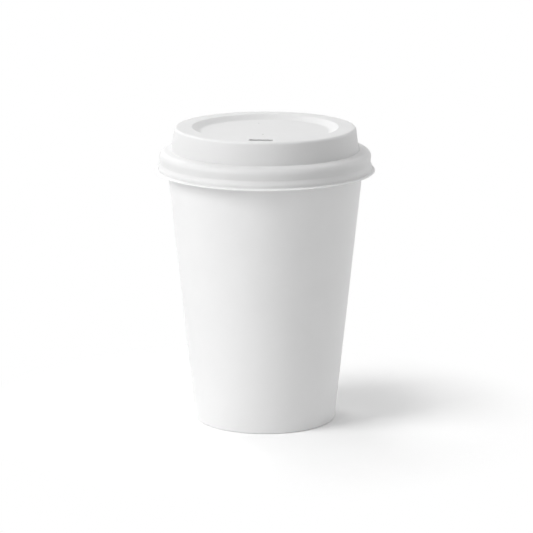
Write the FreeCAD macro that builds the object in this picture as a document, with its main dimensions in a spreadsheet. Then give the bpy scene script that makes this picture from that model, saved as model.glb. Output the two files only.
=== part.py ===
import FreeCAD, Part
import math
import os
import Sketcher

# Reusable coffee cup: a tapered moulded cup and the sip lid that presses over its rim.
#
# Frame: millimetres, +Z up.  The origin is the centre of the foot ring, on the surface
# that the cup stands on.  The axis of both pieces is Z and the sip slot is on the -Y side.
#
# Both pieces are one-shot polypropylene mouldings with an even wall:
#   cup  a revolved wall with a rounded foot, a raised floor and a beaded rim
#   lid  a revolved shell (domed top, shelf over the rim, ogee skirt, thin lip, plug ring)
#        with a dished D-shaped panel, a sip slot in the mouth land and two vent holes

DIMENSIONS = [
    # cup
    ("cup_rise", 115.9, "height of the rim above the table"),
    ("base_radius", 30.1, "outer wall at the table, before the foot is rounded"),
    ("draft_angle", 6.0, "lean of the wall, degrees"),
    ("cup_wall", 1.2, "wall thickness"),
    ("foot_width", 1.8, "width of the foot ring"),
    ("foot_rise", 4.0, "height of the hollow under the floor"),
    ("foot_draft", 0.35, "draw taper inside the foot ring, over its height"),
    ("floor_wall", 1.3, "floor thickness"),
    ("gate_radius", 4.0, "round moulding gate recess under the floor"),
    ("gate_depth", 0.4, "depth of the gate recess"),
    ("bead_radius", 43.6, "outer radius of the rim bead"),
    ("bead_rise", 3.0, "height of the straight side of the bead, with its rounding"),
    ("bead_slope", 0.9, "rise of the sloped underside of the bead"),
    ("foot_edge", 0.7, "rounding outside the foot"),
    ("foot_inner_edge", 0.4, "rounding inside the foot"),
    ("underside_corner", 1.2, "rounding where the foot meets the floor"),
    ("floor_corner", 3.0, "rounding inside the cup where wall meets floor"),
    ("bead_edge", 1.35, "outer rounding of the rim"),
    ("rim_edge", 1.1, "inner rounding of the rim"),
    ("bead_root", 0.8, "rounding under the bead"),
    # lid shell
    ("overall_rise", 127.0, "top of the lid above the table"),
    ("lid_wall", 0.9, "wall thickness of the lid"),
    ("dome_top_radius", 38.5, "dome wall at its top, before the edge is rounded"),
    ("dome_foot_radius", 39.9, "dome wall where it meets the shelf"),
    ("shelf_rise", 116.95, "shelf over the rim, at the shoulder"),
    ("shelf_crown", 0.2, "how much higher the shelf is at the foot of the dome"),
    ("shoulder_radius", 45.25, "skirt at shelf height, before the shoulder is rounded"),
    ("waist_radius", 44.8, "narrowest place of the skirt, where it snaps under the bead"),
    ("waist_rise", 112.0, "height of the waist"),
    ("ogee_radius", 45.55, "skirt below the waist"),
    ("ogee_rise", 110.3, "height where the ogee turns straight down"),
    ("lip_root_radius", 45.6, "skirt where the lip starts"),
    ("lip_root_rise", 109.1, "height where the lip starts"),
    ("lip_radius", 46.75, "edge of the lip"),
    ("lip_rise", 108.25, "underside of the lip"),
    ("lip_edge", 0.35, "thickness of the lip at its edge"),
    ("plug_radius", 40.7, "plug ring that enters the cup, at its root"),
    ("plug_tip_radius", 40.5, "plug ring at its tip"),
    ("plug_tip_inner", 39.6, "inside of the plug ring at its tip"),
    ("plug_tip_rise", 113.3, "height of the tip of the plug ring"),
    ("dome_edge", 1.4, "rounding of the top edge"),
    ("dome_foot_edge", 0.5, "rounding where the dome meets the shelf"),
    ("shoulder_edge", 2.6, "rounding of the shoulder"),
    ("waist_edge", 1.0, "hollow of the ogee"),
    ("ogee_edge", 2.2, "swell of the ogee"),
    ("lip_fillet", 0.25, "hollow where the skirt meets the lip"),
    ("plug_edge", 0.3, "rounding of the tip of the plug ring"),
    # dished panel
    ("dish_depth", 1.9, "depth of the panel below the top"),
    ("dish_slope", 63.0, "lean of the dish wall from the vertical, degrees"),
    ("dish_radius", 31.1, "dish outline at the sides and the back"),
    ("dish_front", 26.3, "distance from the axis to the front of the outline"),
    ("dish_front_arc", 39.4, "radius of the flat front arc"),
    ("dish_blend_arc", 14.0, "radius that joins the front arc to the main arc"),
    ("dish_skin", 0.2, "extra width of the dish underneath, for an even wall"),
    ("dish_top_edge", 1.1, "rounding where the top turns into the dish"),
    ("dish_floor_edge", 4.0, "rounding where the dish wall meets the panel"),
    # openings in the lid
    ("slot_reach", 32.0, "distance from the axis to the middle of the sip slot"),
    ("slot_width", 10.0, "sip slot, side to side"),
    ("slot_length", 4.0, "sip slot, front to back"),
    ("slot_corner", 1.2, "corner radius of the sip slot"),
    ("vent_radius", 0.45, "vent holes"),
    ("front_vent_reach", 8.7, "front vent, distance in front of the axis"),
    ("front_vent_offset", 0.6, "front vent, distance to the left"),
    ("back_vent_reach", 18.7, "back vent, distance behind the axis"),
    ("back_vent_offset", 3.7, "back vent, distance to the left"),
]

VERTICAL_AXIS = -2
HORIZONTAL_AXIS = -1
SAME_PLACE = 0.01


def dimension_sheet(doc):
    """Put the driving dimensions in a sheet, one alias to a row."""
    sheet = doc.addObject("Spreadsheet::Sheet", "dims")
    for row, (alias, value, note) in enumerate(DIMENSIONS, start=1):
        sheet.set("A%d" % row, alias)
        sheet.set("B%d" % row, str(value))
        sheet.set("C%d" % row, note)
        sheet.setAlias("B%d" % row, alias)
    doc.recompute()
    return sheet


def origin_plane(body, role):
    """One of the body's own origin planes, by its role."""
    for feature in body.Origin.OriginFeatures:
        if feature.Role == role:
            return feature
    raise RuntimeError("no origin plane " + role)


def new_sketch(body, name, role, lift=None):
    """A sketch on an origin plane, lifted along its normal by an expression."""
    sketch = body.newObject("Sketcher::SketchObject", name)
    sketch.AttachmentSupport = [(origin_plane(body, role), "")]
    sketch.MapMode = "FlatFace"
    if lift:
        sketch.setExpression("AttachmentOffset.Base.z", lift)
    return sketch


def drive(sketch, constraint, expression):
    """Add a dimension to a sketch and bind it to an expression over the sheet."""
    index = sketch.addConstraint(constraint)
    sketch.setExpression("Constraints[%d]" % index, expression)


def closed_outline(sketch, corners):
    """Straight-sided outline from named corners, each (name, x, y) with two expressions.

    Every corner starts at a provisional place, and its two dimensions carry it to its own.
    A coordinate that is the number 0 ties the corner to that axis.
    Returns the line that starts at each named corner.
    """
    count = len(corners)
    places = [FreeCAD.Vector(10 + i, 10 + i * i % 7, 0) for i in range(count)]
    lines = []
    for i in range(count):
        lines.append(sketch.addGeometry(Part.LineSegment(places[i], places[(i + 1) % count]), False))
    for i in range(count):
        sketch.addConstraint(Sketcher.Constraint("Coincident", lines[i], 2, lines[(i + 1) % count], 1))
    for i, (name, x, y) in enumerate(corners):
        if x == 0:
            sketch.addConstraint(Sketcher.Constraint("PointOnObject", lines[i], 1, VERTICAL_AXIS))
        else:
            drive(sketch, Sketcher.Constraint("DistanceX", -1, 1, lines[i], 1, places[i].x), x)
        if y == 0:
            sketch.addConstraint(Sketcher.Constraint("PointOnObject", lines[i], 1, HORIZONTAL_AXIS))
        else:
            drive(sketch, Sketcher.Constraint("DistanceY", -1, 1, lines[i], 1, places[i].y), y)
    return {corner[0]: line for corner, line in zip(corners, lines)}


def revolved(body, name, corners):
    """Turn an outline of named (radius, height) corners round the Z axis."""
    sketch = new_sketch(body, name + "_outline", "XZ_Plane")
    lines = closed_outline(sketch, corners)
    turn = body.newObject("PartDesign::Revolution", name)
    turn.Profile = sketch
    turn.ReferenceAxis = (sketch, ["V_Axis"])
    turn.Angle = 360.0
    return sketch, lines


def ring_edges(shape, radius, height):
    """Names of the circular edges with this radius round Z at this height."""
    names = []
    for number, edge in enumerate(shape.Edges, start=1):
        curve = edge.Curve
        if not isinstance(curve, Part.Circle):
            continue
        if abs(curve.Radius - radius) > SAME_PLACE or abs(curve.Center.z - height) > SAME_PLACE:
            continue
        if math.hypot(curve.Center.x, curve.Center.y) < SAME_PLACE:
            names.append("Edge%d" % number)
    if not names:
        raise RuntimeError("no edge of radius %.2f at height %.2f" % (radius, height))
    return names


def rounded(body, name, size, outline, corners):
    """Round the ring edges that named corners of a revolved outline left, by one size."""
    body.Document.recompute()
    sketch, lines = outline
    base = body.Tip
    edges = []
    for corner in corners:
        place = sketch.Geometry[lines[corner]].StartPoint
        edges += ring_edges(base.Shape, place.x, place.y)
    fillet = body.newObject("PartDesign::Fillet", name)
    fillet.Base = (base, edges)
    fillet.setExpression("Radius", size)
    return fillet


def make_cup(doc):
    """The cup: foot ring, raised floor, leaning wall and the bead round its rim."""
    body = doc.addObject("PartDesign::Body", "cup")
    lean = "tan(dims.draft_angle)"
    skin = "dims.cup_wall / cos(dims.draft_angle)"
    bead_under = "(dims.cup_rise - dims.bead_rise)"
    bead_start = "(dims.cup_rise - dims.bead_rise - dims.bead_slope)"
    floor_top = "(dims.foot_rise + dims.floor_wall)"
    outline = revolved(body, "cup_wall", [
        ("gate_top", 0, "dims.foot_rise + dims.gate_depth"),
        ("gate_edge", "dims.gate_radius", "dims.foot_rise + dims.gate_depth"),
        ("gate_mouth", "dims.gate_radius", "dims.foot_rise"),
        ("underside", "dims.base_radius - dims.foot_width - dims.foot_draft", "dims.foot_rise"),
        ("foot_inner", "dims.base_radius - dims.foot_width", 0),
        ("foot_outer", "dims.base_radius", 0),
        ("bead_root", "dims.base_radius + %s * %s" % (bead_start, lean), bead_start),
        ("bead_lower", "dims.bead_radius", bead_under),
        ("bead_upper", "dims.bead_radius", "dims.cup_rise"),
        ("rim_inner", "dims.base_radius + dims.cup_rise * %s - %s" % (lean, skin), "dims.cup_rise"),
        ("floor_edge", "dims.base_radius + %s * %s - %s" % (floor_top, lean, skin), floor_top),
        ("floor_middle", 0, floor_top),
    ])
    rounded(body, "foot_rounding", "dims.foot_edge", outline, ["foot_outer"])
    rounded(body, "foot_inner_rounding", "dims.foot_inner_edge", outline, ["foot_inner"])
    rounded(body, "underside_rounding", "dims.underside_corner", outline, ["underside"])
    rounded(body, "floor_rounding", "dims.floor_corner", outline, ["floor_edge"])
    rounded(body, "bead_root_rounding", "dims.bead_root", outline, ["bead_root"])
    rounded(body, "bead_rounding", "dims.bead_edge", outline, ["bead_upper", "bead_lower"])
    rounded(body, "rim_rounding", "dims.rim_edge", outline, ["rim_inner"])
    return body


def shell_outline(body):
    """The turned shell of the lid: domed top, shelf, skirt, lip and plug ring, one even wall."""
    wall = "dims.lid_wall"
    lean = "atan((dims.ogee_radius - dims.waist_radius) / (dims.waist_rise - dims.ogee_rise))"
    drop = "%s * tan(%s / 2)" % (wall, lean)
    return revolved(body, "shell", [
        ("top_middle", 0, "dims.overall_rise"),
        ("dome_top", "dims.dome_top_radius", "dims.overall_rise"),
        ("dome_foot", "dims.dome_foot_radius", "dims.shelf_rise + dims.shelf_crown"),
        ("shoulder", "dims.shoulder_radius", "dims.shelf_rise"),
        ("waist", "dims.waist_radius", "dims.waist_rise"),
        ("ogee", "dims.ogee_radius", "dims.ogee_rise"),
        ("lip_root", "dims.lip_root_radius", "dims.lip_root_rise"),
        ("lip_top", "dims.lip_radius", "dims.lip_rise + dims.lip_edge"),
        ("lip_bottom", "dims.lip_radius", "dims.lip_rise"),
        ("skirt_mouth", "dims.lip_root_radius - " + wall, "dims.lip_rise"),
        ("ogee_inside", "dims.ogee_radius - " + wall, "dims.ogee_rise - " + drop),
        ("waist_inside", "dims.waist_radius - " + wall, "dims.waist_rise - " + drop),
        ("shoulder_inside", "dims.shoulder_radius - " + wall, "dims.shelf_rise - " + wall),
        ("plug_root", "dims.plug_radius", "dims.shelf_rise - " + wall),
        ("plug_tip", "dims.plug_tip_radius", "dims.plug_tip_rise"),
        ("plug_tip_inside", "dims.plug_tip_inner", "dims.plug_tip_rise"),
        ("dome_foot_inside", "dims.dome_foot_radius - " + wall, "dims.shelf_rise"),
        ("dome_top_inside", "dims.dome_top_radius - " + wall, "dims.overall_rise - " + wall),
        ("ceiling_middle", 0, "dims.overall_rise - " + wall),
    ])


def dish_outline(sheet, sketch, grow):
    """D-shaped outline of four tangent arcs, the flatter one in front, widened by grow.

    The front arc and the main arc both have their centres on the Y axis.  Each blend arc
    lies inside both, so its centre is found from its distances to theirs.
    """
    extra = sheet.get(grow) if grow else 0.0
    main = sheet.get("dish_radius") + extra
    blend = sheet.get("dish_blend_arc") + extra
    front = sheet.get("dish_front_arc") + extra
    back_step = sheet.get("dish_front_arc") - sheet.get("dish_front")
    centre_y = ((main - blend) ** 2 - (front - blend) ** 2 + back_step ** 2) / (2 * back_step)
    centre_x = math.sqrt((main - blend) ** 2 - centre_y ** 2)
    side = math.atan2(centre_y, centre_x)
    corner = math.atan2(centre_y - back_step, centre_x)
    spans = [
        (0.0, 0.0, main, side, math.pi - side),
        (-centre_x, centre_y, blend, math.pi - side, math.pi - corner),
        (0.0, back_step, front, -math.pi - corner, corner),
        (centre_x, centre_y, blend, corner, side),
    ]
    arcs = []
    for x, y, radius, start, end in spans:
        circle = Part.Circle(FreeCAD.Vector(x, y, 0), FreeCAD.Vector(0, 0, 1), radius)
        arcs.append(sketch.addGeometry(Part.ArcOfCircle(circle, start, end), False))
    for i in range(4):
        sketch.addConstraint(Sketcher.Constraint("Tangent", arcs[i], 2, arcs[(i + 1) % 4], 1))
    widen = " + dims." + grow if grow else ""
    main_arc, left_arc, front_arc, right_arc = arcs
    sketch.addConstraint(Sketcher.Constraint("Coincident", main_arc, 3, -1, 1))
    sketch.addConstraint(Sketcher.Constraint("PointOnObject", front_arc, 3, VERTICAL_AXIS))
    drive(sketch, Sketcher.Constraint("Radius", main_arc, main), "dims.dish_radius" + widen)
    drive(sketch, Sketcher.Constraint("Radius", left_arc, blend), "dims.dish_blend_arc" + widen)
    drive(sketch, Sketcher.Constraint("Radius", right_arc, blend), "dims.dish_blend_arc" + widen)
    drive(sketch, Sketcher.Constraint("Radius", front_arc, front), "dims.dish_front_arc" + widen)
    drive(sketch, Sketcher.Constraint("DistanceY", -1, 1, front_arc, 3, back_step),
          "dims.dish_front_arc - dims.dish_front")


def level_edges(shape, height, reach):
    """Names of the edges that lie level at this height and within this reach of the axis."""
    names = []
    for number, edge in enumerate(shape.Edges, start=1):
        box = edge.BoundBox
        if abs(box.ZMin - height) > SAME_PLACE or abs(box.ZMax - height) > SAME_PLACE:
            continue
        if max(abs(box.XMin), abs(box.XMax), abs(box.YMin), abs(box.YMax)) < reach:
            names.append("Edge%d" % number)
    if not names:
        raise RuntimeError("no level edge at height %.2f" % height)
    return names


def rounded_level(body, name, size, height, reach):
    """Round the level edges at one height by one size."""
    body.Document.recompute()
    base = body.Tip
    fillet = body.newObject("PartDesign::Fillet", name)
    fillet.Base = (base, level_edges(base.Shape, height, reach))
    fillet.setExpression("Radius", size)


def add_dish(sheet, body):
    """Sink the D-shaped panel: first its skin under the ceiling, then the dish itself."""
    under = new_sketch(body, "dish_skin_outline", "XY_Plane", "dims.overall_rise - dims.lid_wall")
    dish_outline(sheet, under, "dish_skin")
    skin = body.newObject("PartDesign::Pad", "dish_skin")
    skin.Profile = under
    skin.Reversed = True
    skin.setExpression("Length", "dims.dish_depth")
    skin.setExpression("TaperAngle", "-dims.dish_slope")
    top = new_sketch(body, "dish_outline", "XY_Plane", "dims.overall_rise")
    dish_outline(sheet, top, None)
    dish = body.newObject("PartDesign::Pocket", "dish")
    dish.Profile = top
    dish.setExpression("Length", "dims.dish_depth")
    dish.setExpression("TaperAngle", "-dims.dish_slope")
    roof = sheet.get("overall_rise")
    ceiling = roof - sheet.get("lid_wall")
    depth = sheet.get("dish_depth")
    reach = sheet.get("dish_radius") + sheet.get("dish_skin") + SAME_PLACE
    rounded_level(body, "dish_edge_rounding", "dims.dish_top_edge", roof, reach)
    rounded_level(body, "panel_rounding", "dims.dish_floor_edge", roof - depth, reach)
    panel_under_edge = "dims.dish_floor_edge + dims.lid_wall"
    rounded_level(body, "panel_under_rounding", panel_under_edge, ceiling - depth, reach)
    rounded_level(body, "dish_root_rounding", "dims.dish_top_edge - dims.lid_wall", ceiling, reach)


def cut_slot(body):
    """The sip slot: a rounded rectangle through the wide land in front of the dish."""
    sketch = new_sketch(body, "slot_outline", "XY_Plane", "dims.overall_rise")
    sketch.setExpression("AttachmentOffset.Base.x", "-dims.slot_width / 2")
    sketch.setExpression("AttachmentOffset.Base.y", "-dims.slot_reach - dims.slot_length / 2")
    closed_outline(sketch, [
        ("front_left", 0, 0),
        ("front_right", "dims.slot_width", 0),
        ("back_right", "dims.slot_width", "dims.slot_length"),
        ("back_left", 0, "dims.slot_length"),
    ])
    slot = body.newObject("PartDesign::Pocket", "slot")
    slot.Profile = sketch
    slot.setExpression("Length", "2 * dims.lid_wall")


def cut_vents(body):
    """Two small vent holes through the panel, in front of the axis and behind it."""
    sketch = new_sketch(body, "vent_outline", "XY_Plane", "dims.overall_rise")
    up = FreeCAD.Vector(0, 0, 1)
    front = sketch.addGeometry(Part.Circle(FreeCAD.Vector(-1, -9, 0), up, 0.5), False)
    back = sketch.addGeometry(Part.Circle(FreeCAD.Vector(-4, 19, 0), up, 0.5), False)
    for hole in (front, back):
        drive(sketch, Sketcher.Constraint("Radius", hole, 0.5), "dims.vent_radius")
    drive(sketch, Sketcher.Constraint("DistanceX", front, 3, -1, 1, 1.0), "dims.front_vent_offset")
    drive(sketch, Sketcher.Constraint("DistanceY", front, 3, -1, 1, 9.0), "dims.front_vent_reach")
    drive(sketch, Sketcher.Constraint("DistanceX", back, 3, -1, 1, 4.0), "dims.back_vent_offset")
    drive(sketch, Sketcher.Constraint("DistanceY", -1, 1, back, 3, 19.0), "dims.back_vent_reach")
    vents = body.newObject("PartDesign::Pocket", "vents")
    vents.Profile = sketch
    vents.setExpression("Length", "dims.dish_depth + 2 * dims.lid_wall")


def upright_edges(shape, low, high, reach):
    """Names of the straight upright edges between two heights, further than reach from X-Z."""
    names = []
    for number, edge in enumerate(shape.Edges, start=1):
        box = edge.BoundBox
        if not isinstance(edge.Curve, Part.Line) or box.ZLength < SAME_PLACE:
            continue
        if box.XLength < SAME_PLACE and box.YLength < SAME_PLACE and box.YMax < -reach:
            if box.ZMin > low - SAME_PLACE and box.ZMax < high + SAME_PLACE:
                names.append("Edge%d" % number)
    return names


def round_slot(sheet, body):
    """Round the four upright corners of the slot."""
    body.Document.recompute()
    base = body.Tip
    roof = sheet.get("overall_rise")
    back_of_slot = sheet.get("slot_reach") - sheet.get("slot_length")
    corners = upright_edges(base.Shape, roof - sheet.get("lid_wall"), roof, back_of_slot)
    if len(corners) != 4:
        raise RuntimeError("the slot has %d corners" % len(corners))
    fillet = body.newObject("PartDesign::Fillet", "slot_corners")
    fillet.Base = (base, corners)
    fillet.setExpression("Radius", "dims.slot_corner")


def make_lid(doc, sheet):
    """The sip lid, drawn where it sits on the cup."""
    body = doc.addObject("PartDesign::Body", "lid")
    outline = shell_outline(body)
    rounded(body, "dome_rounding", "dims.dome_edge", outline, ["dome_top"])
    rounded(body, "dome_inner_rounding", "dims.dome_edge - dims.lid_wall", outline, ["dome_top_inside"])
    rounded(body, "dome_foot_rounding", "dims.dome_foot_edge", outline, ["dome_foot"])
    rounded(body, "shoulder_rounding", "dims.shoulder_edge", outline, ["shoulder"])
    shoulder_inner_edge = "dims.shoulder_edge - dims.lid_wall"
    rounded(body, "shoulder_inner_rounding", shoulder_inner_edge, outline, ["shoulder_inside"])
    rounded(body, "waist_rounding", "dims.waist_edge", outline, ["waist"])
    rounded(body, "waist_inner_rounding", "dims.waist_edge + dims.lid_wall", outline, ["waist_inside"])
    rounded(body, "ogee_rounding", "dims.ogee_edge", outline, ["ogee"])
    rounded(body, "ogee_inner_rounding", "dims.ogee_edge - dims.lid_wall", outline, ["ogee_inside"])
    rounded(body, "lip_root_rounding", "dims.lip_fillet", outline, ["lip_root"])
    rounded(body, "plug_rounding", "dims.plug_edge", outline, ["plug_tip", "plug_tip_inside"])
    add_dish(sheet, body)
    cut_slot(body)
    round_slot(sheet, body)
    cut_vents(body)
    return body


def checked(doc, bodies):
    """Recompute, and stop if any object failed or any body is not one valid solid."""
    doc.recompute()
    for thing in doc.Objects:
        if "Invalid" in thing.State or "Error" in thing.State:
            raise RuntimeError("%s failed: %s" % (thing.Name, thing.State))
    for body in bodies:
        shape = body.Shape
        if shape.isNull() or not shape.isValid() or len(shape.Solids) != 1:
            raise RuntimeError("%s is not one valid solid" % body.Label)


def main():
    doc = FreeCAD.newDocument("reusable_cup")
    sheet = dimension_sheet(doc)
    bodies = [make_cup(doc), make_lid(doc, sheet)]
    checked(doc, bodies)
    os.makedirs("parts", exist_ok=True)
    for body in bodies:
        body.Label = body.Name
        body.Placement = FreeCAD.Placement()
        body.Shape.exportStep("parts/%s.step" % body.Label)
        print(body.Label, round(body.Shape.Volume, 1), body.Shape.BoundBox)


main()
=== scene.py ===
"""A white moulded drinking cup with its sip lid, dressed in matte plastic on a plain stage.

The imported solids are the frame.  Each piece is one smooth closed surface, worked out from
named sizes in metres, and stands in its solid's place.  Z is up, the origin is the middle
of the foot, and the sip slot is on the -Y side.
"""

import math

import bpy
import numpy as np
from bpy.props import FloatProperty, FloatVectorProperty, PointerProperty
from bpy.types import Operator, Panel, PropertyGroup
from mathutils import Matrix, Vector


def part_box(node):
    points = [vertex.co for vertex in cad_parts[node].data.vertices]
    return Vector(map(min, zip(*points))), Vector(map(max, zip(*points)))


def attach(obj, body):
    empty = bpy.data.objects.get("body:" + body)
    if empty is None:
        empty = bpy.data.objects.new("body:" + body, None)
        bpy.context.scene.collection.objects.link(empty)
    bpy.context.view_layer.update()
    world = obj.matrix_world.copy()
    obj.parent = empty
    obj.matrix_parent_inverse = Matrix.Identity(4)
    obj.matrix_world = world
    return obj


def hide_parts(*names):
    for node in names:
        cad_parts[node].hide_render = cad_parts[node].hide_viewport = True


bl_info = {
    "name": "Coffee Cup With Sip Lid",
    "version": (1, 0, 0),
    "blender": (4, 5, 0),
    "location": "3D View > Sidebar > Coffee Cup",
    "description": "Builds a moulded drinking cup, its sip lid and a plain studio",
    "category": "Add Mesh",
}

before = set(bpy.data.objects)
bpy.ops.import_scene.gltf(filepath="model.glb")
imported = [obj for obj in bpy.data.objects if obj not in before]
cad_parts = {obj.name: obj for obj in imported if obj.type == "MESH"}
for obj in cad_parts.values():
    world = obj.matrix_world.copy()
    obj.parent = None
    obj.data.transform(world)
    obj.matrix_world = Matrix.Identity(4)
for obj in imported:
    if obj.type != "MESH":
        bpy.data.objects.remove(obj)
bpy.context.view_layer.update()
CUP_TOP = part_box("cup")[1]
LID_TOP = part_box("lid")[1]

# Cells round the axis and on each rounding, and along a side of the slot's and of a vent's block.
# A block's number is even, so that the block has a middle.
SEGMENTS = 240
ARC_STEPS = 8
SLOT_CELLS = 16
VENT_CELLS = 8
# The fewest and the most cells along a straight run, and about how long they are.
RUN_CELLS = (2, 28)
CUP_SPACING = 0.0012
LID_SPACING = 0.0007
DISH_SPACING = 0.0005
# How near to the axis a turned floor comes before a fan closes it.
POLE_RADIUS = 0.0002
# The turn of each column round the axis, and of the slot's side.
TURNS = np.arange(SEGMENTS) * 2 * np.pi / SEGMENTS
FRONT = 1.5 * np.pi


# ---------------------------------------------------------------- sizes and colours


def length(label, value, note):
    """A size in metres, shown in the scene's unit of length."""
    return FloatProperty(name=label, description=note, default=value, min=0.0, precision=5, unit="LENGTH")


def angle(label, degrees, note):
    """An angle, given in degrees and kept in radians."""
    return FloatProperty(name=label, description=note, default=math.radians(degrees), unit="ROTATION")


def share(label, value, note):
    """A plain share from nothing to all."""
    return FloatProperty(name=label, description=note, default=value, min=0.0, max=1.0, subtype="FACTOR")


def colour(label, grey, note):
    """A neutral colour of one grey."""
    return FloatVectorProperty(
        name=label, description=note, subtype="COLOR", size=3, min=0.0, max=1.0, default=(grey, grey, grey)
    )


def power(label, watts, note):
    """A lamp's power."""
    return FloatProperty(name=label, description=note, default=watts, min=0.0, unit="POWER")


class CupSizes(PropertyGroup):
    """The cup's section, from the gate under its floor to the bead round its rim."""

    height: length("Height", CUP_TOP.z, "Rim above the table")
    bead_radius: length("Bead Radius", CUP_TOP.x, "Outer radius of the bead round the rim")
    foot_radius: length("Foot Radius", 0.0301, "Outer wall at the table, before the foot is rounded")
    lean: angle("Lean", 6.0, "Lean of the wall")
    wall: length("Wall", 0.0012, "Thickness of the wall")
    foot_width: length("Foot Width", 0.0018, "Width of the foot ring")
    foot_height: length("Foot Height", 0.004, "Height of the hollow under the floor")
    foot_draft: length("Foot Draft", 0.00035, "Draw taper inside the foot ring")
    floor: length("Floor", 0.0013, "Thickness of the floor")
    gate_radius: length("Gate Radius", 0.004, "Round recess of the moulding gate under the floor")
    gate_depth: length("Gate Depth", 0.0004, "Depth of the gate recess")
    bead_height: length("Bead Height", 0.003, "Straight side of the bead, with its rounding")
    bead_slope: length("Bead Slope", 0.0009, "Rise of the sloped underside of the bead")
    gate_edge: length("Gate Rounding", 0.00015, "Rounding of the gate recess")
    underside_corner: length("Underside Rounding", 0.0012, "Rounding where the foot meets the floor")
    foot_inner_edge: length("Inner Foot Rounding", 0.0004, "Rounding inside the foot")
    foot_edge: length("Foot Rounding", 0.0007, "Rounding outside the foot")
    bead_root: length("Bead Root", 0.0008, "Rounding under the bead")
    bead_edge: length("Bead Rounding", 0.00135, "Outer rounding of the rim")
    rim_edge: length("Rim Rounding", 0.0011, "Inner rounding of the rim")
    floor_corner: length("Floor Corner", 0.003, "Rounding inside the cup where wall meets floor")


class LidSizes(PropertyGroup):
    """The lid's even-wall section: dome, shelf, ogee skirt, lip and plug ring."""

    top: length("Top", LID_TOP.z, "Top of the lid above the table")
    lip_radius: length("Lip Radius", LID_TOP.x, "Edge of the lip")
    wall: length("Wall", 0.0009, "Thickness of the wall")
    dome_top_radius: length("Dome Top Radius", 0.0385, "Dome wall at its top, before its rounding")
    dome_foot_radius: length("Dome Foot Radius", 0.0399, "Dome wall where it meets the shelf")
    shelf_height: length("Shelf Height", 0.11695, "Shelf over the rim, at the shoulder")
    shelf_rise: length("Shelf Rise", 0.00035, "How much higher the shelf is at the dome's foot")
    shoulder_radius: length("Shoulder Radius", 0.04525, "Skirt at shelf height, before its rounding")
    waist_radius: length("Waist Radius", 0.0448, "Narrowest place of the skirt")
    waist_height: length("Waist Height", 0.112, "Height of the waist")
    ogee_radius: length("Ogee Radius", 0.04555, "Skirt below the waist")
    ogee_height: length("Ogee Height", 0.1103, "Height where the ogee turns straight down")
    lip_root_radius: length("Lip Root Radius", 0.0456, "Skirt where the lip starts")
    lip_root_height: length("Lip Root Height", 0.1091, "Height where the lip starts")
    lip_height: length("Lip Height", 0.10825, "Underside of the lip")
    lip_edge: length("Lip Edge", 0.00035, "Thickness of the lip at its edge")
    plug_radius: length("Plug Radius", 0.0407, "Plug ring that enters the cup, at its root")
    plug_tip_radius: length("Plug Tip Radius", 0.0405, "Plug ring at its tip")
    plug_tip_inner: length("Plug Tip Inside", 0.0396, "Inside of the plug ring at its tip")
    plug_tip_height: length("Plug Tip Height", 0.1133, "Height of the tip of the plug ring")
    dome_edge: length("Dome Rounding", 0.0012, "Rounding of the top edge")
    dome_foot_edge: length("Dome Foot Rounding", 0.0005, "Rounding where the dome meets the shelf")
    shoulder_edge: length("Shoulder Rounding", 0.0026, "Rounding of the shoulder")
    waist_edge: length("Waist Rounding", 0.001, "Hollow of the ogee")
    ogee_edge: length("Ogee Rounding", 0.0022, "Swell of the ogee")
    lip_root_edge: length("Lip Root Rounding", 0.00025, "Hollow where the skirt meets the lip")
    lip_rounding: length("Lip Rounding", 0.00012, "Rounding of the lip's own edges")
    plug_edge: length("Plug Rounding", 0.0003, "Rounding of the tip of the plug ring")


class DishSizes(PropertyGroup):
    """The D-shaped dish sunk into the top of the lid."""

    depth: length("Depth", 0.0019, "Depth of the panel below the top")
    slope: angle("Slope", 63.0, "Lean of the dish wall from the vertical")
    radius: length("Radius", 0.0311, "Outline at the sides and the back")
    front: length("Front", 0.0263, "Distance from the axis to the front of the outline")
    front_arc: length("Front Arc", 0.0394, "Radius of the flat front arc")
    blend_arc: length("Blend Arc", 0.014, "Radius that joins the front arc to the main arc")
    skin: length("Skin", 0.0002, "Extra width of the dish underneath, for an even wall")
    top_edge: length("Top Rounding", 0.0011, "Rounding where the top turns into the dish")
    floor_edge: length("Floor Rounding", 0.004, "Rounding where the dish wall meets the panel")


class OpeningSizes(PropertyGroup):
    """The sip slot and the two vents."""

    slot_reach: length("Slot Reach", 0.032, "Distance from the axis to the middle of the slot")
    slot_width: length("Slot Width", 0.01, "Slot, side to side")
    slot_length: length("Slot Length", 0.004, "Slot, front to back")
    slot_corner: length("Slot Corner", 0.0012, "Corner radius of the slot")
    slot_edge: length("Slot Rounding", 0.0003, "Rounding round the slot on top")
    vent_radius: length("Vent Radius", 0.00045, "Radius of the vents")
    vent_edge: length("Vent Rounding", 0.00012, "Rounding round the vents on top")
    under_edge: length("Underside Rounding", 0.00012, "Rounding round every opening underneath")
    front_vent: FloatVectorProperty(
        name="Front Vent", description="Middle of the front vent", size=2, unit="LENGTH",
        default=(-0.0006, -0.0087),
    )
    back_vent: FloatVectorProperty(
        name="Back Vent", description="Middle of the back vent", size=2, unit="LENGTH",
        default=(-0.0037, 0.0187),
    )


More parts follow.
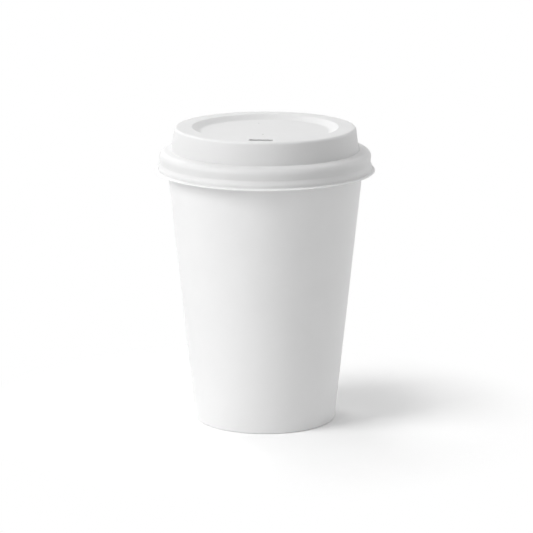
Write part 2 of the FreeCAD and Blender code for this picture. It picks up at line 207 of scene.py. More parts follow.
class PlasticFinish(PropertyGroup):
    """The matte white plastic of both pieces. The lid's darker grey is painted shade."""

    cup_colour: colour("Cup Colour", 0.84, "Colour of the cup's plastic")
    # The lid's grey is darker than the cup's as painted shade. It stands in for floor bounce light that
    # falls more on the cup's wall than on the lid.
    lid_colour_with_painted_shade: colour("Lid Colour", 0.74, "Colour of the lid's plastic")
    shade: share("Shade", 0.985, "How light the faint darker patches stay")
    milkiness: length("Milkiness", 0.001, "How far light spreads inside the plastic")
    specular: share("Specular", 0.35, "Strength of the plain reflection")
    roughness: share("Roughness", 0.52, "Roughness of the moulded surface")
    unevenness: share("Unevenness", 0.05, "How far the roughness strays either way over the patches")
    edge_roughness: share("Edge Roughness", 0.4, "Roughness of the edges that hands and lips polish")
    grain_size: length("Grain Size", 0.0004, "Width of one grain of the mould's texture")
    grain_depth: length("Grain Depth", 0.00001, "Depth of the mould's texture")


class StageSettings(PropertyGroup):
    """Camera, floor and lamps."""

    distance: length("Camera Distance", 1.2861, "From the camera to the middle of the view")
    view_height: length("View Height", 0.0661, "Height of the middle of the view")
    view_side: length("View Side", 0.00057, "How far the view's middle lies to the camera's right")
    pitch: angle("Pitch", 12.68, "How far the camera looks down")
    turn: angle("Turn", 2.74, "How far the camera stands to the right of the slot")
    focal: FloatProperty(name="Focal Length", description="Focal length", default=202.63, unit="CAMERA")
    floor_size: length("Floor Size", 6.0, "Side of the floor")
    floor_colour: colour("Floor Colour", 0.95, "Colour of the floor")
    floor_gain: share("Floor Gain", 0.1, "How much more light the floor gives back to the eye alone")
    white_start: length("White Start", 0.06, "Distance from the axis where the floor turns plain white")
    white_end: length("White End", 0.13, "Distance from the axis where the floor is plain white")
    world_light: share("World Light", 0.39, "Even light from all round")
    lamp_distance: length("Lamp Distance", 1.2, "Distance of the lamps")
    softbox_size: length("Softbox Size", 0.55, "Side of the large lamps")
    panel_size: length("Panel Size", 0.25, "Side of the small lamps")
    key_power: power("Key Power", 7.0, "Large lamp on the left in front")
    back_power: power("Back Power", 3.1, "Large lamp on the left behind")
    side_power: power("Side Power", 2.3, "Large lamp low on the right behind")
    front_power: power("Front Power", 1.1, "Large lamp low in front")
    top_power: power("Top Power", 1.35, "Small lamp high in front")
    overhead_power: power("Overhead Power", 0.9, "Small lamp nearly overhead")


class CoffeeCup(PropertyGroup):
    """Everything that a user would change, one group to each sub-part."""

    cup: PointerProperty(type=CupSizes)
    lid: PointerProperty(type=LidSizes)
    dish: PointerProperty(type=DishSizes)
    openings: PointerProperty(type=OpeningSizes)
    finish: PointerProperty(type=PlasticFinish)
    stage: PointerProperty(type=StageSettings)


# ---------------------------------------------------------------- sections


def tangent_arc(before, corner, after, rounding, steps=ARC_STEPS):
    """The arc that rounds one corner of a path, as steps + 1 points.

    It touches both runs at rounding / tan(half) from the corner and turns about the point
    at rounding / sin(half) on the bisector, where half is half of the corner's angle.
    """
    if rounding == 0.0:
        return corner[None]
    back = (before - corner) / np.linalg.norm(before - corner)
    ahead = (after - corner) / np.linalg.norm(after - corner)
    half = np.arccos(back @ ahead) / 2
    centre = corner + (back + ahead) / np.linalg.norm(back + ahead) * rounding / np.sin(half)
    spoke = corner + back * rounding / np.tan(half) - centre
    side = np.sign(back[1] * ahead[0] - back[0] * ahead[1])
    turn = np.linspace(0.0, np.pi - 2 * half, steps + 1)[:, None] * side
    return centre + spoke * np.cos(turn) + np.array([-spoke[1], spoke[0]]) * np.sin(turn)


def eased_run(start, end, spacing):
    """Points strictly between two ends, at (1 - cos(pi * s)) / 2 of the way for even steps s."""
    count = int(np.clip(np.linalg.norm(end - start) / spacing, *RUN_CELLS))
    way = (1 - np.cos(np.pi * np.arange(1, count) / count)) / 2
    return start + (end - start) * way[:, None]


def rounded_path(corners, spacing):
    """Straight runs joined by tangent arcs, from corners of (x, y, rounding), as one array."""
    spots = np.array(corners, float)
    arcs = [spots[:1, :2]]
    for before, corner, after in zip(spots, spots[1:], spots[2:]):
        arcs.append(tangent_arc(before[:2], corner[:2], after[:2], corner[2]))
    arcs.append(spots[-1:, :2])
    path = [arcs[0]]
    for arc, following in zip(arcs, arcs[1:]):
        path.append(eased_run(arc[-1], following[0], spacing))
        path.append(following)
    return np.concatenate(path)


def turned(path):
    """A path of (radius, height) carried round Z: x = radius cos(turn), y = radius sin(turn)."""
    radius = path[:, :1] * np.ones(SEGMENTS)
    return np.stack([radius * np.cos(TURNS), radius * np.sin(TURNS), path[:, 1:] + 0 * radius], axis=-1)


# ---------------------------------------------------------------- meshes


class Skin:
    """The points and faces of one piece, gathered as whole arrays."""

    def __init__(self):
        self.points = []
        self.faces = []
        self.count = 0

    def place(self, points):
        """Add points and return their numbers, laid out as the points are."""
        numbers = self.count + np.arange(points[..., 0].size).reshape(points.shape[:-1])
        self.points.append(points.reshape(-1, 3))
        self.count += numbers.size
        return numbers

    def band(self, rows, keep=None):
        """Square faces between rows that close on themselves.

        They face outwards where the rows go up an outer wall with the turn to the left.
        """
        ahead = np.roll(rows, -1, axis=1)
        squares = np.stack([rows[:-1], ahead[:-1], ahead[1:], rows[1:]], axis=-1)
        if keep is not None:
            squares = squares[keep]
        self.faces += squares.reshape(-1, 4).tolist()

    def pole(self, row, height, rising):
        """Close a row with a fan about one point on the axis."""
        middle = self.place(np.array([[0.0, 0.0, height]]))
        edge = [row, np.roll(row, -1)] if rising else [np.roll(row, -1), row]
        self.faces += np.stack([*edge, middle + 0 * row], axis=-1).tolist()

    def piece(self, name):
        """Make the object, without the points that no face uses."""
        used, inverse = np.unique(np.concatenate(self.faces), return_inverse=True)
        ends = np.cumsum([len(face) for face in self.faces])[:-1]
        faces = [part.tolist() for part in np.split(inverse.ravel(), ends)]
        mesh = bpy.data.meshes.new(name)
        mesh.from_pydata(np.concatenate(self.points)[used].tolist(), [], faces)
        mesh.shade_smooth()
        mesh.validate()
        made = bpy.data.objects.new(name, mesh)
        bpy.context.scene.collection.objects.link(made)
        return made


def mark_edges(made):
    """Store how sharply each point's surface bulges, from 0 on flats to 1 on tight edges.

    A bulge is the mean over a point's edges of -2 (normal . edge) / edge length squared.
    It is weighed against the bulge of a rounding of full_edge.
    """
    full_edge = 0.0008
    mesh = made.data
    spots = np.zeros(len(mesh.vertices) * 3)
    mesh.vertices.foreach_get("co", spots)
    spots = spots.reshape(-1, 3)
    normals = np.zeros(len(mesh.vertices) * 3, np.float32)
    mesh.vertex_normals.foreach_get("vector", normals)
    normals = normals.reshape(-1, 3)
    pairs = np.zeros(len(mesh.edges) * 2, np.int32)
    mesh.edges.foreach_get("vertices", pairs)
    pairs = np.concatenate([pairs.reshape(-1, 2), pairs.reshape(-1, 2)[:, ::-1]])
    reach = spots[pairs[:, 1]] - spots[pairs[:, 0]]
    bend = -2 * (reach * normals[pairs[:, 0]]).sum(axis=1) / (reach * reach).sum(axis=1)
    total = np.bincount(pairs[:, 0], bend, len(spots))
    count = np.bincount(pairs[:, 0], minlength=len(spots))
    wear = np.clip(total / count * full_edge, 0.0, 1.0)
    mesh.attributes.new("edge", "FLOAT", "POINT").data.foreach_set("value", wear.astype(np.float32))


# ---------------------------------------------------------------- the cup


def cup_section(cup):
    """Corners of the cup's wall, from the gate under the floor, up outside and down inside."""
    lean = math.tan(cup.lean)
    skin = cup.wall / math.cos(cup.lean)
    bead_under = cup.height - cup.bead_height
    bead_start = bead_under - cup.bead_slope
    floor_top = cup.foot_height + cup.floor
    gate_top = cup.foot_height + cup.gate_depth
    foot_inside = cup.foot_radius - cup.foot_width
    return [
        (POLE_RADIUS, gate_top, 0.0),
        (cup.gate_radius, gate_top, cup.gate_edge),
        (cup.gate_radius, cup.foot_height, cup.gate_edge),
        (foot_inside - cup.foot_draft, cup.foot_height, cup.underside_corner),
        (foot_inside, 0.0, cup.foot_inner_edge),
        (cup.foot_radius, 0.0, cup.foot_edge),
        (cup.foot_radius + bead_start * lean, bead_start, cup.bead_root),
        (cup.bead_radius, bead_under, cup.bead_edge),
        (cup.bead_radius, cup.height, cup.bead_edge),
        (cup.foot_radius + cup.height * lean - skin, cup.height, cup.rim_edge),
        (cup.foot_radius + floor_top * lean - skin, floor_top, cup.floor_corner),
        (POLE_RADIUS, floor_top, 0.0),
    ]


def build_cup(sizes):
    """The cup as one turned surface, closed by a pole on each side of its floor."""
    path = rounded_path(cup_section(sizes.cup), CUP_SPACING)
    skin = Skin()
    rows = skin.place(turned(path))
    skin.band(rows)
    skin.pole(rows[0], path[0, 1], rising=False)
    skin.pole(rows[-1], path[-1, 1], rising=True)
    return skin.piece("cup_body")


# ---------------------------------------------------------------- the lid


def d_radius(turn, grow, dish):
    """Distance from the axis to the D-shaped outline, widened by grow, at each turn.

    The outline is four tangent arcs: the main arc about the axis, the flatter front arc
    about a point behind it, and a blend arc on each side.  A ray from the axis leaves a
    circle of radius R about c at p + sqrt(p * p - c . c + R * R), where p is how far c
    lies along the ray.  The left half mirrors the right one.
    """
    main = dish.radius - dish.blend_arc
    front = dish.front_arc - dish.blend_arc
    back = dish.front_arc - dish.front
    blend_y = (main**2 - front**2 + back**2) / (2 * back)
    blend_x = math.sqrt(main**2 - blend_y**2)
    side = math.atan2(blend_y, blend_x)
    corner = math.atan2(blend_y - back, blend_x)
    across, along = np.abs(np.cos(turn)), np.sin(turn)
    bearing = np.arctan2(along, across)

    def leave(x, y, radius):
        reach = x * across + y * along
        return reach + np.sqrt(reach**2 - x * x - y * y + radius**2)

    blend = dish.blend_arc + grow
    join = np.arctan2(blend_y + blend * math.sin(corner), blend_x + blend * math.cos(corner))
    flat = leave(0.0, back, dish.front_arc + grow)
    outline = np.where(bearing < join, flat, leave(blend_x, blend_y, blend))
    return np.where(bearing > side, dish.radius + grow, outline)


def stations(blocks, step):
    """Shares of a way from 0 to 1, with even cells across each block of (start, end, cells).

    Between the blocks the cells are about one step.  Also returns where each block starts.
    """
    shares = [np.zeros(1)]
    starts = []
    for start, end, cells in [*blocks, (1.0, 1.0, 0)]:
        last = shares[-1][-1]
        gap = max(1, round((start - last) / step))
        shares.append(np.linspace(last, start, gap + 1)[1:])
        starts.append(sum(map(len, shares)) - 1)
        if cells:
            shares.append(np.linspace(start, end, cells + 1)[1:])
    return np.concatenate(shares), starts[:-1]


class Deck:
    """The top of the lid, or its underside, as rows from the middle out to the dome's edge.

    The panel's rows are shares of the D-shaped outline, the dish wall's rows follow the
    outline at the places and heights of its section, and the land's rows turn from the
    outline into a circle.
    """

    # Where the deck ends, and the flat kept beside the roundings of the dish's foot and of its top.
    edge = 0.0368
    panel_flat = 0.0006
    land_flat = 0.0009
    # Half of a vent's block in vent radii, and the land that the slot's block takes past each end.
    vent_block = 2.4
    slot_margin = 0.0013
    # The share of the way across the panel, and across the land, that a plain cell takes.
    panel_step = 0.07
    land_step = 0.1

    def __init__(self, sizes, roof, grow, top_edge, floor_edge):
        dish = sizes.dish
        run = dish.depth * math.tan(dish.slope)
        flat = floor_edge * math.tan((math.pi / 2 - dish.slope) / 2) + self.panel_flat
        self.panel = roof - dish.depth
        section = rounded_path(
            [
                (grow - run - flat, self.panel, 0.0),
                (grow - run, self.panel, floor_edge),
                (grow, roof, top_edge),
                (grow + self.land_flat, roof, 0.0),
            ],
            DISH_SPACING,
        )
        inner = d_radius(TURNS, section[0, 0], dish)
        outer = d_radius(TURNS, section[-1, 0], dish)
        panel, vent_rows = self.panel_shares(sizes.openings, inner)
        land, slot_rows = self.land_shares(sizes.openings, outer)
        radius = np.concatenate([
            panel[1:-1, None] * inner,
            d_radius(TURNS, section[:, :1], dish),
            outer + (self.edge - outer) * land[1:, None],
        ])
        height = np.concatenate([
            np.full(len(panel) - 2, self.panel), section[:, 1], np.full(len(land) - 1, roof),
        ])
        self.rows = np.stack(
            [radius * np.cos(TURNS), radius * np.sin(TURNS), height[:, None] + 0 * radius], axis=-1
        )
        land_start = len(panel) - 2 + len(section) - 1
        self.block_rows = [row + land_start for row in slot_rows] + [row - 1 for row in vent_rows]

    @classmethod
    def panel_shares(cls, openings, inner):
        """Shares of the way out across the panel, with a block at each vent."""
        blocks = []
        for vent in (openings.front_vent, openings.back_vent):
            reach = np.interp(math.atan2(vent[1], vent[0]) % (2 * np.pi), TURNS, inner)
            middle = math.hypot(*vent) / reach
            half = cls.vent_block * openings.vent_radius / reach
            blocks.append((middle - half, middle + half, VENT_CELLS))
        return stations(blocks, cls.panel_step)

    @classmethod
    def land_shares(cls, openings, outer):
        """Shares of the way out across the land, with a block at the slot."""
        start = outer[round(FRONT / (2 * np.pi) * SEGMENTS)]
        half = 0.5 * openings.slot_length + cls.slot_margin
        ends = [(openings.slot_reach + side * half - start) / (cls.edge - start) for side in (-1, 1)]
        return stations([(*ends, SLOT_CELLS)], cls.land_step)


def block_rim(rows, outer, inner, columns):
    """The numbers round a block of a grid: out along its outer row, in, back and out again."""
    step = 1 if inner > outer else -1
    down = np.arange(outer, inner + step, step)
    return np.concatenate([
        rows[down[0], columns[:-1]],
        rows[down[:-1], columns[-1]],
        rows[down[-1], columns[:0:-1]],
        rows[down[:0:-1], columns[0]],
    ])


def rounded_loop(width, reach, corner, cells):
    """A rounded rectangle round the origin, as arc middles and spokes to be scaled.

    Going round, the arc's middle stands still while the spoke turns a quarter, and then
    moves to the next corner while the spoke stands still.  It starts half way round the
    first corner, and each side takes the same number of cells.
    """
    arc = cells // 2
    knots = np.cumsum([0, arc / 2] + [cells - arc, arc] * 3 + [cells - arc, arc / 2])
    spot = np.arange(4 * cells)
    turns = 225 + np.cumsum([0, 45] + [0, 90] * 3 + [0, 45])
    bearing = np.interp(spot, knots, np.radians(turns))
    corners = np.array([(-1, -1), (1, -1), (1, 1), (-1, 1), (-1, -1)])
    sides = np.repeat(corners, 2, axis=0)
    middle_x = np.interp(spot, knots, sides[:, 0] * (width / 2 - corner))
    middle_y = np.interp(spot, knots, sides[:, 1] * (reach / 2 - corner))
    return np.stack([middle_x, middle_y], axis=-1), np.stack([np.cos(bearing), np.sin(bearing)], axis=-1)


def round_loop(cells):
    """A circle round the origin, in the same form and from the same corner."""
    bearing = np.radians(225) + np.arange(4 * cells) * np.pi / (2 * cells)
    return np.zeros((4 * cells, 2)), np.stack([np.cos(bearing), np.sin(bearing)], axis=-1)


def narrowing(start, end, count=4):
    """Rings strictly between two rings, evenly spaced."""
    way = (np.arange(1, count) / count)[:, None, None]
    return start + (end - start) * way


class Opening:
    """A hole through the lid: its middle, its outline and the roundings of its two edges."""

    # How far its section goes out past the wall, on top and underneath, in roundings of that edge.
    reach_over = 1.5
    reach_under = 2.0

    def __init__(self, middle, loop, corner, edge, under_edge):
        self.middle = np.array(middle)
        self.loop = loop
        self.corner = corner
        self.edge = edge
        self.under_edge = under_edge
        self.cells = len(loop[0]) // 4
        turn = math.atan2(middle[1], middle[0]) % (2 * np.pi)
        self.column = round(turn / (2 * np.pi) * SEGMENTS)

    def rings(self, top, bottom):
        """Rings that go over the upper edge, down the wall and under the lower edge.

        Each ring is the loop with its corner radius grown by the section's distance from the
        wall, at the section's height, turned to face the axis and carried to its place.
        """
        section = rounded_path(
            [
                (self.reach_over * self.edge, top, 0.0),
                (0.0, top, self.edge),
                (0.0, bottom, self.under_edge),
                (self.reach_under * self.under_edge, bottom, 0.0),
            ],
            self.edge,
        )
        centres, spokes = self.loop
        flat = centres + spokes * (self.corner + section[:, :1, None])
        turn = TURNS[self.column % SEGMENTS]
        across = np.array([-math.sin(turn), math.cos(turn)])
        inward = np.array([-math.cos(turn), -math.sin(turn)])
        plan = flat[..., :1] * across + flat[..., 1:] * inward + self.middle
        return np.concatenate([plan, section[:, None, 1:] + 0 * plan[..., :1]], axis=-1)


class PiercedSkin(Skin):
    """The skin of one grid, whose rows go from the middle of an underside round to that of a top."""

    def __init__(self, grid):
        super().__init__()
        self.spots = grid.reshape(-1, 3)
        self.rows = self.place(grid)
        self.keep = np.ones((len(grid) - 1, SEGMENTS), bool)

    def pierce(self, opening, over_row, under_row):
        """Swap a block of the top and of the underside for one skin through an opening.

        Each block starts at its given row, counted outwards from the middle of its side.
        """
        cells = opening.cells
        last = len(self.keep)
        blocks = [(last - over_row - cells, last - over_row), (under_row + cells, under_row)]
        columns = np.arange(opening.column - cells // 2, opening.column + cells // 2 + 1) % SEGMENTS
        rims = [block_rim(self.rows, outer, inner, columns) for outer, inner in blocks]
        top, bottom = (self.spots[rim] for rim in rims)
        rings = opening.rings(top[0, 2], bottom[0, 2])
        inside = np.concatenate([narrowing(top, rings[0]), rings, narrowing(rings[-1], bottom)])
        self.band(np.concatenate([rims[0][None], self.place(inside), rims[1][None]]))
        for block in blocks:
            self.keep[np.ix_(np.arange(min(block), max(block)), columns[:-1])] = False


def lid_section(lid, edge):
    """Corners of the lid's wall, from under the dome down inside, round the lip and up outside."""
    wall = lid.wall
    lean = math.atan((lid.ogee_radius - lid.waist_radius) / (lid.waist_height - lid.ogee_height))
    drop = wall * math.tan(lean / 2)
    return [
        (edge, lid.top - wall, 0.0),
        (lid.dome_top_radius - wall, lid.top - wall, lid.dome_edge - wall),
        (lid.dome_foot_radius - wall, lid.shelf_height, lid.plug_edge),
        (lid.plug_tip_inner, lid.plug_tip_height, lid.plug_edge),
        (lid.plug_tip_radius, lid.plug_tip_height, lid.plug_edge),
        (lid.plug_radius, lid.shelf_height - wall, lid.plug_edge),
        (lid.shoulder_radius - wall, lid.shelf_height - wall, lid.shoulder_edge - wall),
        (lid.waist_radius - wall, lid.waist_height - drop, lid.waist_edge + wall),
        (lid.ogee_radius - wall, lid.ogee_height - drop, lid.ogee_edge - wall),
        (lid.lip_root_radius - wall, lid.lip_height, lid.lip_rounding),
        (lid.lip_radius, lid.lip_height, lid.lip_rounding),
        (lid.lip_radius, lid.lip_height + lid.lip_edge, lid.lip_rounding),
        (lid.lip_root_radius, lid.lip_root_height, lid.lip_root_edge),
        (lid.ogee_radius, lid.ogee_height, lid.ogee_edge),
        (lid.waist_radius, lid.waist_height, lid.waist_edge),
        (lid.shoulder_radius, lid.shelf_height, lid.shoulder_edge),
        (lid.dome_foot_radius, lid.shelf_height + lid.shelf_rise, lid.dome_foot_edge),
        (lid.dome_top_radius, lid.top, lid.dome_edge),
        (edge, lid.top, 0.0),
    ]


def lid_openings(openings):
    """The slot, the front vent and the back vent."""
    loop = rounded_loop(openings.slot_width, openings.slot_length, openings.slot_corner, SLOT_CELLS)
    middle = (0.0, -openings.slot_reach)
    holes = [Opening(middle, loop, openings.slot_corner, openings.slot_edge, openings.under_edge)]
    for vent in (openings.front_vent, openings.back_vent):
        loop = round_loop(VENT_CELLS)
        holes.append(Opening(vent, loop, openings.vent_radius, openings.vent_edge, openings.under_edge))
    return holes


def build_lid(sizes):
    """The lid as one closed surface: underside, inner wall, lip, outer wall and top."""
    lid, dish = sizes.lid, sizes.dish
    wall = lid.wall
    under = Deck(sizes, lid.top - wall, dish.skin, dish.top_edge - wall, dish.floor_edge + wall)
    over = Deck(sizes, lid.top, 0.0, dish.top_edge, dish.floor_edge)
    side = rounded_path(lid_section(lid, Deck.edge), LID_SPACING)
    skin = PiercedSkin(np.concatenate([under.rows, turned(side[1:-1]), over.rows[::-1]]))
    for opening, *rows in zip(lid_openings(sizes.openings), over.block_rows, under.block_rows):
        skin.pierce(opening, *rows)
    skin.band(skin.rows, skin.keep)
    skin.pole(skin.rows[0], under.panel, rising=False)
    skin.pole(skin.rows[-1], over.panel, rising=True)
    return skin.piece("sip_lid")


# ---------------------------------------------------------------- finishes

# How far each piece's plastic shifts the grain and its patches, so that the two pieces differ.
PATTERN_SHIFT = {"cup": 0.0, "lid": 0.37}


def add_node(tree, kind, place, **values):
    """A node at a place in the tree, with its named settings."""
    node = tree.nodes.new(kind)
    node.location = place
    for name, value in values.items():
        setattr(node, name, value)
    return node


def grain_group():
    """Spark-eroded mould texture: fine noise for the height and slow noise for soft patches."""
    tree = bpy.data.node_groups.new("moulded_grain", "ShaderNodeTree")
    tree.interface.new_socket("Vector", in_out="INPUT", socket_type="NodeSocketVector")
    tree.interface.new_socket("Grains", in_out="INPUT", socket_type="NodeSocketFloat")
    tree.interface.new_socket("Height", in_out="OUTPUT", socket_type="NodeSocketFloat")
    tree.interface.new_socket("Patches", in_out="OUTPUT", socket_type="NodeSocketFloat")
    start = add_node(tree, "NodeGroupInput", (-600, 0))
    end = add_node(tree, "NodeGroupOutput", (400, 0))
    fine = add_node(tree, "ShaderNodeTexNoise", (-300, 200))
    fine.inputs["Detail"].default_value = 3.0
    fine.inputs["Roughness"].default_value = 0.65
    slow = add_node(tree, "ShaderNodeTexNoise", (-300, -200))
    slow.inputs["Scale"].default_value = 45.0
    slow.inputs["Detail"].default_value = 4.0
    tree.links.new(start.outputs["Vector"], fine.inputs["Vector"])
    tree.links.new(start.outputs["Grains"], fine.inputs["Scale"])
    tree.links.new(start.outputs["Vector"], slow.inputs["Vector"])
    tree.links.new(fine.outputs["Fac"], end.inputs["Height"])
    tree.links.new(slow.outputs["Fac"], end.inputs["Patches"])
    return tree


def matte_plastic(name, white, finish, offset):
    """Milky matte plastic with mould texture, faint patches and slightly polished edges."""
    made = bpy.data.materials.new(name)
    made.use_nodes = True
    tree = made.node_tree
    shader = tree.nodes["Principled BSDF"]
    shader.inputs["IOR"].default_value = 1.49
    shader.inputs["Specular IOR Level"].default_value = finish.specular
    shader.inputs["Subsurface Weight"].default_value = 1.0
    shader.inputs["Subsurface Radius"].default_value = (1.0, 1.0, 1.0)
    shader.inputs["Subsurface Scale"].default_value = finish.milkiness
    grain_tree = bpy.data.node_groups.get("moulded_grain") or grain_group()
    place = add_node(tree, "ShaderNodeTexCoord", (-1300, 0))
    shift = add_node(tree, "ShaderNodeMapping", (-1100, 0))
    shift.inputs["Location"].default_value = (offset, 0.0, 0.0)
    grain = add_node(tree, "ShaderNodeGroup", (-850, 0), node_tree=grain_tree)
    grain.inputs["Grains"].default_value = 1.0 / finish.grain_size
    tone = add_node(tree, "ShaderNodeMix", (-550, 300), data_type="RGBA")
    tone.inputs["A"].default_value = (*(c * finish.shade for c in white), 1.0)
    tone.inputs["B"].default_value = (*white, 1.0)
    spread = add_node(tree, "ShaderNodeMapRange", (-700, 150))
    spread.inputs["From Min"].default_value = 0.35
    spread.inputs["From Max"].default_value = 0.6
    edge = add_node(tree, "ShaderNodeAttribute", (-850, -300), attribute_name="edge")
    rough = add_node(tree, "ShaderNodeMix", (-300, -50), data_type="FLOAT")
    patchy = add_node(tree, "ShaderNodeMapRange", (-550, -50))
    patchy.inputs["To Min"].default_value = finish.roughness - finish.unevenness
    patchy.inputs["To Max"].default_value = finish.roughness + finish.unevenness
    rough.inputs["B"].default_value = finish.edge_roughness
    bump = add_node(tree, "ShaderNodeBump", (-300, -300))
    bump.inputs["Distance"].default_value = finish.grain_depth
    links = tree.links
    links.new(place.outputs["Object"], shift.inputs["Vector"])
    links.new(shift.outputs["Vector"], grain.inputs["Vector"])
    links.new(grain.outputs["Patches"], spread.inputs["Value"])
    links.new(spread.outputs["Result"], tone.inputs["Factor"])
    links.new(tone.outputs["Result"], shader.inputs["Base Color"])
    links.new(grain.outputs["Patches"], patchy.inputs["Value"])
    links.new(patchy.outputs["Result"], rough.inputs["A"])
    links.new(edge.outputs["Fac"], rough.inputs["Factor"])
    links.new(rough.outputs["Result"], shader.inputs["Roughness"])
    links.new(grain.outputs["Height"], bump.inputs["Height"])
    links.new(bump.outputs["Normal"], shader.inputs["Normal"])
    return made


def seat(made, node, white, finish):
    """Finish a piece and put it in its solid's place, on its body and material slot."""
    mark_edges(made)
    made.data.materials.append(matte_plastic(node + "_plastic", white, finish, PATTERN_SHIFT[node]))
    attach(made, node)
    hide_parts(node)


# ---------------------------------------------------------------- stage

# Each lamp's name, its bearing and its rise in degrees, and the setting that holds its size.
LAMPS = [
    ("key", -60, 36, "softbox_size"),
    ("back", -150, 36, "softbox_size"),
    ("side", 120, 12, "softbox_size"),
    ("front", -30, 12, "softbox_size"),
    ("top", -30, 72, "panel_size"),
    ("overhead", -90, 82, "panel_size"),
]


def shown_to_the_eye(tree, light, shown, place):
    """Camera, glossy and transmitted rays see shown, and every other ray gets light."""
    path = add_node(tree, "ShaderNodeLightPath", (place[0] - 600, place[1] + 300))
    first = add_node(tree, "ShaderNodeMath", (place[0] - 400, place[1] + 300), operation="MAXIMUM")
    seen = add_node(tree, "ShaderNodeMath", (place[0] - 200, place[1] + 300), operation="MAXIMUM")
    mix = add_node(tree, "ShaderNodeMixShader", place)
    tree.links.new(path.outputs["Is Camera Ray"], first.inputs[0])
    tree.links.new(path.outputs["Is Glossy Ray"], first.inputs[1])
    tree.links.new(first.outputs[0], seen.inputs[0])
    tree.links.new(path.outputs["Is Transmission Ray"], seen.inputs[1])
    tree.links.new(seen.outputs[0], mix.inputs[0])
    tree.links.new(light, mix.inputs[1])
    tree.links.new(shown, mix.inputs[2])
    return mix.outputs[0]


def set_world(stage):
    """Soft even light from all round, and plain white behind everything."""
    world = bpy.data.worlds.new("studio")
    world.use_nodes = True
    tree = world.node_tree
    light = tree.nodes["Background"]
    light.inputs["Color"].default_value = (1.0, 1.0, 1.0, 1.0)
    light.inputs["Strength"].default_value = stage.world_light
    white = add_node(tree, "ShaderNodeBackground", (0, -200))
    white.inputs["Color"].default_value = (1.0, 1.0, 1.0, 1.0)
    both = shown_to_the_eye(tree, light.outputs[0], white.outputs[0], (300, 0))
    tree.links.new(both, tree.nodes["World Output"].inputs["Surface"])
    bpy.context.scene.world = world


def floor_material(stage):
    """Pale floor with the cup's shadow, a little paler to the eye and plain white further out."""
    made = bpy.data.materials.new("pale_floor")
    made.use_nodes = True
    tree = made.node_tree
    links = tree.links
    shader = tree.nodes["Principled BSDF"]
    shader.inputs["Base Color"].default_value = (*stage.floor_colour, 1.0)
    shader.inputs["Roughness"].default_value = 0.9
    shader.inputs["Specular IOR Level"].default_value = 0.0
    gain = add_node(tree, "ShaderNodeBsdfDiffuse", (-100, -200))
    gain.inputs["Color"].default_value = (stage.floor_gain, stage.floor_gain, stage.floor_gain, 1.0)
    paler = add_node(tree, "ShaderNodeAddShader", (100, 0))
    white = add_node(tree, "ShaderNodeEmission", (100, -200))
    place = add_node(tree, "ShaderNodeTexCoord", (-700, -400))
    reach = add_node(tree, "ShaderNodeVectorMath", (-500, -400), operation="LENGTH")
    far = add_node(tree, "ShaderNodeMapRange", (-300, -400), interpolation_type="SMOOTHSTEP")
    far.inputs["From Min"].default_value = stage.white_start
    far.inputs["From Max"].default_value = stage.white_end
    fade = add_node(tree, "ShaderNodeMixShader", (300, 0))
    links.new(shader.outputs[0], paler.inputs[0])
    links.new(gain.outputs[0], paler.inputs[1])
    links.new(place.outputs["Object"], reach.inputs[0])
    links.new(reach.outputs["Value"], far.inputs["Value"])
    links.new(far.outputs["Result"], fade.inputs[0])
    links.new(paler.outputs[0], fade.inputs[1])
    links.new(white.outputs[0], fade.inputs[2])
    both = shown_to_the_eye(tree, shader.outputs[0], fade.outputs[0], (600, 0))
    links.new(both, tree.nodes["Material Output"].inputs["Surface"])
    return made


def set_floor(stage):
    """A square floor at the height of the foot."""
    half = stage.floor_size / 2
    corners = [(-half, -half, 0), (half, -half, 0), (half, half, 0), (-half, half, 0)]
    mesh = bpy.data.meshes.new("floor")
    mesh.from_pydata(corners, [], [(0, 1, 2, 3)])
    mesh.materials.append(floor_material(stage))
    floor = bpy.data.objects.new("floor", mesh)
    bpy.context.scene.collection.objects.link(floor)


def outwards(bearing, rise):
    """The direction from the cup at a bearing from the slot's side towards +X, and at a rise."""
    level = Vector((math.sin(bearing), -math.cos(bearing), 0.0))
    return level * math.cos(rise) + Vector((0.0, 0.0, math.sin(rise)))


def stand(name, data, target, back, distance):
    """Put a lamp or a camera at a distance along back from its target, and face it there."""
    made = bpy.data.objects.new(name, data)
    made.location = target + back * distance
    made.rotation_mode = "QUATERNION"
    made.rotation_quaternion = back.to_track_quat("Z", "Y")
    bpy.context.scene.collection.objects.link(made)
    return made


def set_lamps(stage):
    """A soft key on the left in front, one low in front, two behind and two small ones high up."""
    target = Vector((0.0, 0.0, stage.view_height))
    for name, bearing, rise, size in LAMPS:
        data = bpy.data.lights.new(name, "AREA")
        data.shape = "SQUARE"
        data.size = getattr(stage, size)
        data.energy = getattr(stage, name + "_power")
        back = outwards(math.radians(bearing), math.radians(rise))
        stand(name, data, target, back, stage.lamp_distance)


def set_camera(stage):
    """A long lens, level with the horizon, that looks slightly down on the cup."""
    data = bpy.data.cameras.new("camera")
    data.sensor_width = 36.0
    data.lens = stage.focal
    data.clip_start = 0.05
    data.clip_end = 20.0
    side = Vector((math.cos(stage.turn), math.sin(stage.turn), 0.0))
    target = Vector((0.0, 0.0, stage.view_height)) + side * stage.view_side
    back = outwards(stage.turn, stage.pitch)
    bpy.context.scene.camera = stand("camera", data, target, back, stage.distance)


# ---------------------------------------------------------------- operators and panel


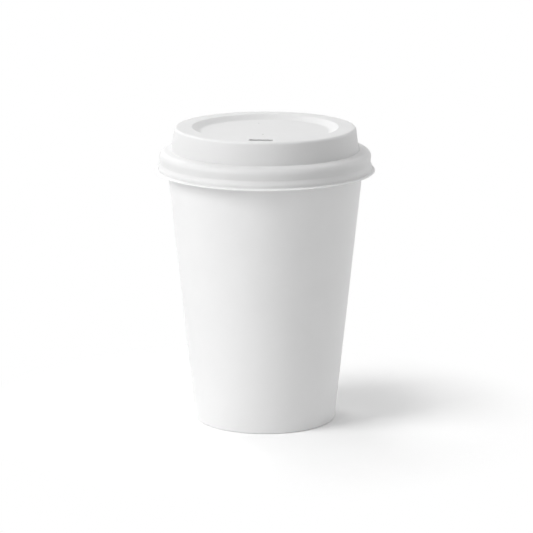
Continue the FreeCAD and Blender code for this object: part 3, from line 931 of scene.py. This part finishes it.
class MouldCup(Operator):
    """Mould the cup and put it in its solid's place"""

    bl_idname = "coffee_cup.mould_cup"
    bl_label = "Mould Cup"

    def execute(self, context):
        sizes = context.scene.coffee_cup
        finish = sizes.finish
        seat(build_cup(sizes), "cup", finish.cup_colour, finish)
        return {"FINISHED"}


class MouldLid(Operator):
    """Mould the sip lid and put it in its solid's place"""

    bl_idname = "coffee_cup.mould_lid"
    bl_label = "Mould Lid"

    def execute(self, context):
        sizes = context.scene.coffee_cup
        finish = sizes.finish
        # The lid's colour carries painted shade: it is a darker grey than the cup's.
        seat(build_lid(sizes), "lid", finish.lid_colour_with_painted_shade, finish)
        return {"FINISHED"}


class SetStage(Operator):
    """Set the floor, the lamps and the camera"""

    bl_idname = "coffee_cup.set_stage"
    bl_label = "Set Stage"

    def execute(self, context):
        stage = context.scene.coffee_cup.stage
        set_world(stage)
        set_floor(stage)
        set_lamps(stage)
        set_camera(stage)
        context.scene.view_settings.view_transform = "Standard"
        return {"FINISHED"}


class CoffeeCupPanel(Panel):
    """Sizes and colours, and a button for each piece"""

    bl_label = "Coffee Cup"
    bl_idname = "VIEW3D_PT_coffee_cup"
    bl_space_type = "VIEW_3D"
    bl_region_type = "UI"
    bl_category = "Coffee Cup"

    def draw(self, context):
        sizes = context.scene.coffee_cup
        for operator, groups in PANEL_ROWS:
            box = self.layout.box()
            box.operator(operator.bl_idname)
            for group in groups:
                settings = getattr(sizes, group)
                for name in settings.__annotations__:
                    box.prop(settings, name)


PANEL_ROWS = [
    (MouldCup, ["cup", "finish"]),
    (MouldLid, ["lid", "dish", "openings"]),
    (SetStage, ["stage"]),
]
CLASSES = [
    CupSizes, LidSizes, DishSizes, OpeningSizes, PlasticFinish, StageSettings, CoffeeCup,
    MouldCup, MouldLid, SetStage, CoffeeCupPanel,
]


def register():
    for kind in CLASSES:
        bpy.utils.register_class(kind)
    bpy.types.Scene.coffee_cup = PointerProperty(type=CoffeeCup)


def unregister():
    del bpy.types.Scene.coffee_cup
    for kind in reversed(CLASSES):
        bpy.utils.unregister_class(kind)


def main():
    register()
    bpy.ops.coffee_cup.mould_cup()
    bpy.ops.coffee_cup.mould_lid()
    bpy.ops.coffee_cup.set_stage()
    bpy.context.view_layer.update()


if __name__ == "__main__":
    main()
